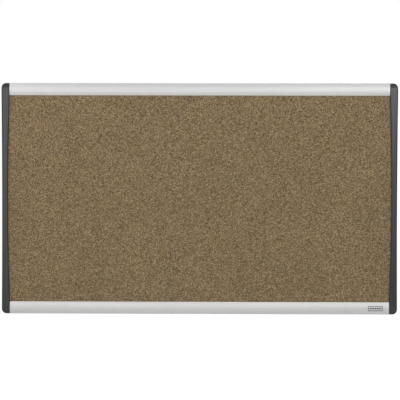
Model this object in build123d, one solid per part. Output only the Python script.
"""Cork bulletin board, 24 x 14 in: a pinning pack held by two aluminium rails and two end caps.

Frame: X along the width, Z up, and the front faces -Y. The wall is the plane y = 0. The origin lies in
that plane, midway between the entry holes of the two keyhole hangers.
Sections are drawn in (u, d): u runs from the board's top edge inwards, d from the wall to the front.
"""

from build123d import *
import os
from math import sqrt

# ---------------------------------------------------------------- driving dimensions, mm
WIDTH = 609.6                # outside, over both end caps (24 in)
HEIGHT = 355.6               # outside, over both rails (14 in)
REAR = 1.0                   # gap between the wall and the back of the frame
WALL = 1.2                   # wall thickness of the rail extrusion

# the pinning pack, from the rear to the front
BACKING_THICK = 0.8
CORE_THICK = 6.0
CORK_THICK = 1.6
PACK_SIDE_INSET = 5.2        # from the board's outside to the pack's side edge
PACK_TOP_INSET = 12.2        # from the board's outside to the pack's top edge
PACK_GAP = 0.2               # play between the pack's edges and the grooves' ends

# rail section
RAIL_FACE = 19.0             # visible height of a rail
FACE_RADIUS = 20.0           # convex front face
CROWN_U = 10.5               # where the front face stands out most
CROWN_D = 17.4
OUTER_ROUND = 1.8
REAR_ROUND = 0.9
LIP_ROUND = 0.5
HANGER_GROOVE = 2.4          # depth of the hangers' groove
GROOVE_END_U = 9.2           # closed end of that groove
REAR_LIP_U = 16.0            # free edge of the lip that closes the groove from behind
BEAD_HEIGHT = 0.7            # bead along the lip's free edge, which keeps the hangers in
BEAD_WIDTH = 1.0
PORT_INNER = 1.45            # screw ports
PORT_OUTER = 2.65
PORT_MOUTH = 1.6
REAR_PORT = (5.6, 4.6)       # u and d of the port in the rear corner of the chamber
FRONT_PORT = (8.6, 11.6)     # u and d of the port on the web behind the pack's edge

# end caps
CAP_WIDTH = 12.6             # at the rails
CAP_OUTER_BOW = 1.0          # the outer edge curves in by this much at mid-height
CAP_INNER_BOW = 3.0          # the inner edge curves out by this much at mid-height
CAP_CORNER = 7.5
CAP_PROUD = 0.4              # step from the rail's face up to the cap's
CAP_FRONT_BOW = 0.6          # the front stands out by this much more at mid-height
CAP_EDGE_ROUND = 2.0
CAP_INNER_ROUND = 1.5
POCKET_INSET = 2.6           # moulded pockets in the rear
POCKET_WALL = 1.6
POCKET_COUNT = 8
POCKET_SPAN = 300.0
TONGUE_LENGTH = 6.0          # tongues that locate the rails
TONGUE_U = (1.6, 5.0)
TONGUE_D = (7.6, 13.0)

# cap screws
SCREW_SEAT = 3.8             # from the board's outside to the underside of the head
SCREW_HEAD_RADIUS = 2.6
SCREW_HEAD_HEIGHT = 1.9
SCREW_HEAD_ROUND = 1.1
SCREW_RADIUS = 1.4
SCREW_LENGTH = 16.0
SCREW_TIP = 2.0              # length of the pointed end
SCREW_POINT_RADIUS = 0.2
SCREW_RECESS = (3.0, 0.7, 0.9)   # cross recess: length, width, depth
SCREW_HOLE_RADIUS = 1.6
COUNTERBORE_RADIUS = 2.8

# wall bumpers
BUMPER_RADIUS = 4.0
BUMPER_ROUND = 0.3
BUMPER_U = 14.0
BUMPER_INSET = 6.0
STEM_RADIUS = 2.4
STEM_LENGTH = 3.4
STEM_GAP = 0.05

# wall hangers
HANGER_THICK = 1.0
HANGER_WIDTH = 30.0
HANGER_SPACING = 406.4       # 16 in, the spacing of wall studs
HANGER_BELOW = 11.0          # plate below the entry hole's centre
HANGER_CORNER = 5.0
HANGER_PLAY = 0.2            # between the hem and each wall of the groove
HEM_HEIGHT = 4.2
HEM_TOP_GAP = 0.1
HEM_ROUND = 0.9
BEND_RADIUS = 0.6
JOGGLE_HEIGHT = 3.0
JOGGLE_BELOW_LIP = 1.4
ENTRY_RADIUS = 4.25
SLOT_RADIUS = 2.25
SLOT_RISE = 9.0
ENTRY_DROP = 39.0            # from the board's top edge down to the entry holes

# badge
BADGE_SIZE = (23.5, 8.8)
BADGE_THICK = 0.35
BADGE_CORNER = 1.4
BADGE_INSET = 33.5           # from the board's right edge to the badge's centre
BADGE_U = 9.5

# ---------------------------------------------------------------- worked out
TOP_Z = ENTRY_DROP
CENTRE_Z = TOP_Z - HEIGHT / 2
HALF = WIDTH / 2
RAIL_LENGTH = WIDTH - 2 * CAP_WIDTH
LIP_D = REAR + WALL                       # inner face of the rear lip
FLANGE_D = LIP_D + HANGER_GROOVE          # rear face of the flange behind the pack
PACK_D = FLANGE_D + WALL
PACK_THICK = BACKING_THICK + CORE_THICK + CORK_THICK
PACK_FRONT_D = PACK_D + PACK_THICK
WEB_U = PACK_TOP_INSET - PACK_GAP         # the pack groove's closed end
FACE_CENTRE_D = CROWN_D - FACE_RADIUS
FAR = 100.0                               # longer than any section
TOUCH = 0.05                              # nearer than this is the same place
ALONG_DEPTH = 0.9                         # an edge whose direction has more of Y than this runs along Y


def box(x, u, d):
    """A box from its low and high x, u and d."""
    corner = (x[0], -d[1], TOP_Z - u[1])
    size = (x[1] - x[0], d[1] - d[0], u[1] - u[0])
    return Pos(*corner) * Box(*size, align=(Align.MIN, Align.MIN, Align.MIN))


def rect(u, d):
    """A rectangle in the section plane, whose local axes are (d, u)."""
    return Pos(d[0], u[0]) * Rectangle(d[1] - d[0], u[1] - u[0], align=(Align.MIN, Align.MIN))


def disc(u, d, radius):
    return Pos(d, u) * Circle(radius)


def nearest(shapes, u, d):
    """The vertex nearest to a point of the section."""
    return shapes.vertices().sort_by(lambda v: (v.X - d) ** 2 + (v.Y - u) ** 2)[0]


# local x runs to the front (-Y), local y runs down from the top edge (-Z), and the normal is +X
SECTION = Plane(origin=(0, 0, TOP_Z), x_dir=(0, -1, 0), z_dir=(1, 0, 0))


def turn_over(shape):
    """Half a turn in the plane of the board: the top becomes the bottom, and the left the right."""
    return Pos(0, 0, CENTRE_Z) * Rot(0, 180, 0) * Pos(0, 0, -CENTRE_Z) * shape


# ---------------------------------------------------------------- pinning pack
def sheet(rear_d, thick):
    u = (PACK_TOP_INSET, HEIGHT - PACK_TOP_INSET)
    x = HALF - PACK_SIDE_INSET
    return box((-x, x), u, (rear_d, rear_d + thick))


# ---------------------------------------------------------------- rails
def screw_port(u, d, opening):
    """A C-shaped port, open in a direction measured in degrees from the front towards the inside."""
    mouth = Rectangle(PORT_OUTER * 2, PORT_MOUTH, align=(Align.MIN, Align.CENTER))
    return disc(u, d, PORT_OUTER) - Pos(d, u) * Rot(0, 0, opening) * mouth


def rail_section():
    face = disc(CROWN_U, FACE_CENTRE_D, FACE_RADIUS)
    shell = rect((0, RAIL_FACE), (REAR, CROWN_D)) & face
    outer_d = FACE_CENTRE_D + sqrt(FACE_RADIUS**2 - CROWN_U**2)
    lip_d = FACE_CENTRE_D + sqrt(FACE_RADIUS**2 - (RAIL_FACE - CROWN_U) ** 2)
    shell = fillet(nearest(shell, 0, outer_d), OUTER_ROUND)
    shell = fillet(nearest(shell, 0, REAR), REAR_ROUND)
    shell = fillet(nearest(shell, RAIL_FACE, lip_d), LIP_ROUND)

    inner_face = disc(CROWN_U, FACE_CENTRE_D, FACE_RADIUS - WALL)
    chamber = rect((WALL, WEB_U - WALL), (PACK_D, CROWN_D)) & inner_face
    chamber += rect((WALL, GROOVE_END_U - WALL), (LIP_D, PACK_D))
    pack_groove = rect((WEB_U, FAR), (PACK_D, PACK_FRONT_D))
    hanger_groove = rect((GROOVE_END_U, FAR), (LIP_D, FLANGE_D))
    below_lip = rect((REAR_LIP_U, FAR), (0, LIP_D))
    bead = rect((REAR_LIP_U - BEAD_WIDTH, REAR_LIP_U), (LIP_D, LIP_D + BEAD_HEIGHT))
    section = shell - chamber - pack_groove - hanger_groove - below_lip + bead
    section += screw_port(*REAR_PORT, -45) + screw_port(*FRONT_PORT, -90)
    section += rect((REAR_PORT[0], GROOVE_END_U), (REAR, REAR_PORT[1]))
    return section - disc(*REAR_PORT, PORT_INNER) - disc(*FRONT_PORT, PORT_INNER)


def top_rail():
    return extrude(SECTION * rail_section(), amount=RAIL_LENGTH / 2, both=True)


# ---------------------------------------------------------------- end caps
def cap_front_outline():
    """The left cap as seen from the front, in X and Z, thick enough to span the whole depth."""
    top, bottom = TOP_Z, TOP_Z - HEIGHT
    rail_top, rail_bottom = top - RAIL_FACE, bottom + RAIL_FACE
    inner = -HALF + CAP_WIDTH
    outer_edge = ThreePointArc((-HALF, bottom), (-HALF + CAP_OUTER_BOW, CENTRE_Z), (-HALF, top))
    inner_edge = ThreePointArc(
        (inner, rail_top), (inner - CAP_INNER_BOW, CENTRE_Z), (inner, rail_bottom)
    )
    outline = outer_edge + Polyline((-HALF, top), (inner, top), (inner, rail_top)) + inner_edge
    outline += Polyline((inner, rail_bottom), (inner, bottom), (-HALF, bottom))
    face = make_face(outline)
    corners = [v for v in face.vertices() if v.X < -HALF + CAP_WIDTH / 2]
    face = fillet(corners, CAP_CORNER)
    return extrude(Plane.XZ * face, amount=FAR)


def cap_side_outline():
    """The caps as seen from the side: each end follows the rail's face, and the middle stands out."""
    radius = FACE_RADIUS + CAP_PROUD
    front_d = CROWN_D + CAP_PROUD
    end_d = FACE_CENTRE_D + sqrt(radius**2 - CROWN_U**2)
    half_u = CROWN_U / 2
    half_d = FACE_CENTRE_D + sqrt(radius**2 - half_u**2)
    far_u = HEIGHT - CROWN_U
    edge = Polyline((end_d, 0), (REAR, 0), (REAR, HEIGHT), (end_d, HEIGHT))
    edge += ThreePointArc((end_d, HEIGHT), (half_d, HEIGHT - half_u), (front_d, far_u))
    edge += ThreePointArc(
        (front_d, far_u), (front_d + CAP_FRONT_BOW, HEIGHT / 2), (front_d, CROWN_U)
    )
    edge += ThreePointArc((front_d, CROWN_U), (half_d, half_u), (end_d, 0))
    return extrude(SECTION * make_face(edge), amount=WIDTH, both=True)


def rear_pockets():
    """A row of moulded pockets, with ribs between them."""
    pitch = POCKET_SPAN / POCKET_COUNT
    inner = CAP_WIDTH - CAP_INNER_BOW - POCKET_WALL
    start = (HEIGHT - POCKET_SPAN) / 2
    pockets = []
    for i in range(POCKET_COUNT):
        u = (start + i * pitch + POCKET_WALL / 2, start + (i + 1) * pitch - POCKET_WALL / 2)
        pockets.append(box((-HALF + POCKET_INSET, -HALF + inner), u, (0, PACK_D - POCKET_WALL)))
    return pockets


def screw_places():
    """Each cap screw's u and d: two at the top rail and two at the bottom rail."""
    ports = (REAR_PORT, FRONT_PORT)
    return [*ports, *((HEIGHT - u, d) for u, d in ports)]


def along_x(x, u, d, radius, length):
    """A cylinder from x towards +X."""
    upright = Cylinder(radius, length, align=(Align.CENTER, Align.CENTER, Align.MIN))
    return Pos(x, -d, TOP_Z - u) * Rot(0, 90, 0) * upright


def front_rim(cap, inner):
    """The edges round the cap's front: those beside the pack if inner is true, and the others if not."""
    inner_start = -HALF + CAP_WIDTH - CAP_INNER_BOW - TOUCH
    crowns = (TOP_Z - CROWN_U, TOP_Z - HEIGHT + CROWN_U)
    rim = []
    for edge in cap.edges():
        centre = edge.center()
        in_front = -centre.Y > PACK_FRONT_D and abs(edge.tangent_at(0.5).Y) < ALONG_DEPTH
        on_crown = min(abs(centre.Z - z) for z in crowns) < TOUCH
        if in_front and not on_crown and (edge.bounding_box().min.X > inner_start) == inner:
            rim.append(edge)
    return rim


def left_end_cap():
    cap = cap_front_outline() & cap_side_outline()
    cap = fillet(front_rim(cap, inner=False), CAP_EDGE_ROUND)
    cap = fillet(front_rim(cap, inner=True), CAP_INNER_ROUND)
    pack_x = (-HALF + PACK_SIDE_INSET - PACK_GAP, 0)
    cap -= box(pack_x, (WEB_U, HEIGHT - WEB_U), (PACK_D, PACK_FRONT_D))
    for pocket in rear_pockets():
        cap -= pocket
    for u, d in screw_places():
        cap -= along_x(-HALF - FAR, u, d, COUNTERBORE_RADIUS, FAR + SCREW_SEAT)
        cap -= along_x(-HALF, u, d, SCREW_HOLE_RADIUS, FAR)
    for u in (BUMPER_U, HEIGHT - BUMPER_U):
        cap -= bumper_cylinder(u, STEM_RADIUS, REAR, STEM_LENGTH)
    tongue_x = (-HALF + CAP_WIDTH, -HALF + CAP_WIDTH + TONGUE_LENGTH)
    for u in (TONGUE_U, (HEIGHT - TONGUE_U[1], HEIGHT - TONGUE_U[0])):
        cap += box(tongue_x, u, TONGUE_D)
    return cap


def bumper_cylinder(u, radius, rear_d, length):
    """A cylinder on a left bumper's axis, from rear_d towards the front."""
    upright = Cylinder(radius, length, align=(Align.CENTER, Align.CENTER, Align.MIN))
    return Pos(-HALF + BUMPER_INSET, -rear_d, TOP_Z - u) * Rot(90, 0, 0) * upright


# ---------------------------------------------------------------- cap screws
def cap_screw(u, d):
    """A pan-head self-tapping screw with a cross recess, driven in along X."""
    head = Pos(0, 0, -SCREW_HEAD_HEIGHT) * Cylinder(
        SCREW_HEAD_RADIUS, SCREW_HEAD_HEIGHT, align=(Align.CENTER, Align.CENTER, Align.MIN)
    )
    head = fillet(head.edges().sort_by(Axis.Z)[0], SCREW_HEAD_ROUND)
    length, width, depth = SCREW_RECESS
    for size in ((length, width), (width, length)):
        head -= Pos(0, 0, -SCREW_HEAD_HEIGHT) * Box(*size, 2 * depth)
    shank = Cylinder(
        SCREW_RADIUS, SCREW_LENGTH - SCREW_TIP, align=(Align.CENTER, Align.CENTER, Align.MIN)
    )
    tip = Pos(0, 0, SCREW_LENGTH - SCREW_TIP) * Cone(
        SCREW_RADIUS, SCREW_POINT_RADIUS, SCREW_TIP, align=(Align.CENTER, Align.CENTER, Align.MIN)
    )
    return Pos(-HALF + SCREW_SEAT, -d, TOP_Z - u) * Rot(0, 90, 0) * (head + shank + tip)


def left_cap_screws():
    return Compound(children=[cap_screw(u, d) for u, d in screw_places()])


# ---------------------------------------------------------------- wall bumpers
def left_bumper(u):
    pad = bumper_cylinder(u, BUMPER_RADIUS, 0, REAR)
    pad = fillet(pad.edges().filter_by(GeomType.CIRCLE), BUMPER_ROUND)
    return pad + bumper_cylinder(u, STEM_RADIUS - STEM_GAP, REAR - BUMPER_ROUND, STEM_LENGTH)


# ---------------------------------------------------------------- wall hangers
def wall_hanger(x):
    """A sheet-steel clip: its hemmed top slides in the rail's groove, and its keyhole takes the screw."""
    hem_top = GROOVE_END_U + HEM_TOP_GAP
    tab_front = FLANGE_D - HANGER_PLAY
    tab_rear = tab_front - HANGER_THICK
    hem_rear = tab_rear - HANGER_THICK
    joggle_top = REAR_LIP_U + JOGGLE_BELOW_LIP
    joggle_bottom = joggle_top + JOGGLE_HEIGHT
    plate_end = ENTRY_DROP + HANGER_BELOW
    outline = Polyline(
        (hem_rear, hem_top), (tab_front, hem_top), (tab_front, joggle_top + HANGER_THICK / 2),
        (HANGER_THICK, joggle_bottom + HANGER_THICK / 2), (HANGER_THICK, plate_end), (0, plate_end),
        (0, joggle_bottom - HANGER_THICK / 2), (tab_rear, joggle_top - HANGER_THICK / 2),
        (tab_rear, hem_top + HEM_HEIGHT), (hem_rear, hem_top + HEM_HEIGHT), close=True,
    )
    section = make_face(outline)
    bends = [(joggle_top + HANGER_THICK / 2, tab_front), (joggle_bottom - HANGER_THICK / 2, 0)]
    section = fillet([nearest(section, *bend) for bend in bends], BEND_RADIUS + HANGER_THICK)
    bends = [(joggle_top - HANGER_THICK / 2, tab_rear), (joggle_bottom + HANGER_THICK / 2, HANGER_THICK)]
    section = fillet([nearest(section, *bend) for bend in bends], BEND_RADIUS)
    section = fillet([nearest(section, hem_top, d) for d in (hem_rear, tab_front)], HEM_ROUND)
    strip = extrude(SECTION * section, amount=HANGER_WIDTH / 2, both=True)
    plate_foot = strip.edges().filter_by(Axis.Y).group_by(Axis.Z)[0]
    strip = fillet(plate_foot, HANGER_CORNER)
    keyhole = Circle(ENTRY_RADIUS)
    keyhole += Rectangle(2 * SLOT_RADIUS, SLOT_RISE, align=(Align.CENTER, Align.MIN))
    keyhole += Pos(0, SLOT_RISE) * Circle(SLOT_RADIUS)
    strip -= extrude(Plane.XZ * keyhole, amount=FLANGE_D, both=True)
    return Pos(x, 0, 0) * strip


# ---------------------------------------------------------------- badge
def badge():
    """A thin plate that follows the bottom rail's face."""
    outer = disc(CROWN_U, FACE_CENTRE_D, FACE_RADIUS + BADGE_THICK)
    band = outer - disc(CROWN_U, FACE_CENTRE_D, FACE_RADIUS)
    band &= rect((0, RAIL_FACE), (PACK_FRONT_D, CROWN_D + BADGE_THICK))
    width, height = BADGE_SIZE
    strip = extrude(SECTION * band, amount=width, both=True)
    outline = extrude(Plane.XZ * RectangleRounded(width, height, BADGE_CORNER), amount=FAR)
    plate = strip & (Pos(0, 0, TOP_Z - BADGE_U) * outline)
    return turn_over(Pos(BADGE_INSET - HALF, 0, 0) * plate)


# ---------------------------------------------------------------- the whole board
core_d = PACK_D + BACKING_THICK
left_cap = left_end_cap()
left_screws = left_cap_screws()
rail = top_rail()
nodes = {
    "backing_sheet": sheet(PACK_D, BACKING_THICK),
    "fibreboard_core": sheet(core_d, CORE_THICK),
    "cork_sheet": sheet(core_d + CORE_THICK, CORK_THICK),
    "top_rail": rail,
    "bottom_rail": turn_over(rail),
    "left_end_cap": left_cap,
    "right_end_cap": turn_over(left_cap),
    "left_cap_screws": left_screws,
    "right_cap_screws": turn_over(left_screws),
    "bumper_top_left": left_bumper(BUMPER_U),
    "bumper_bottom_left": left_bumper(HEIGHT - BUMPER_U),
    "bumper_bottom_right": turn_over(left_bumper(BUMPER_U)),
    "bumper_top_right": turn_over(left_bumper(HEIGHT - BUMPER_U)),
    "left_wall_hanger": wall_hanger(-HANGER_SPACING / 2),
    "right_wall_hanger": wall_hanger(HANGER_SPACING / 2),
    "badge": badge(),
}

os.makedirs("parts", exist_ok=True)
for name, shape in nodes.items():
    export_step(shape, f"parts/{name}.step")
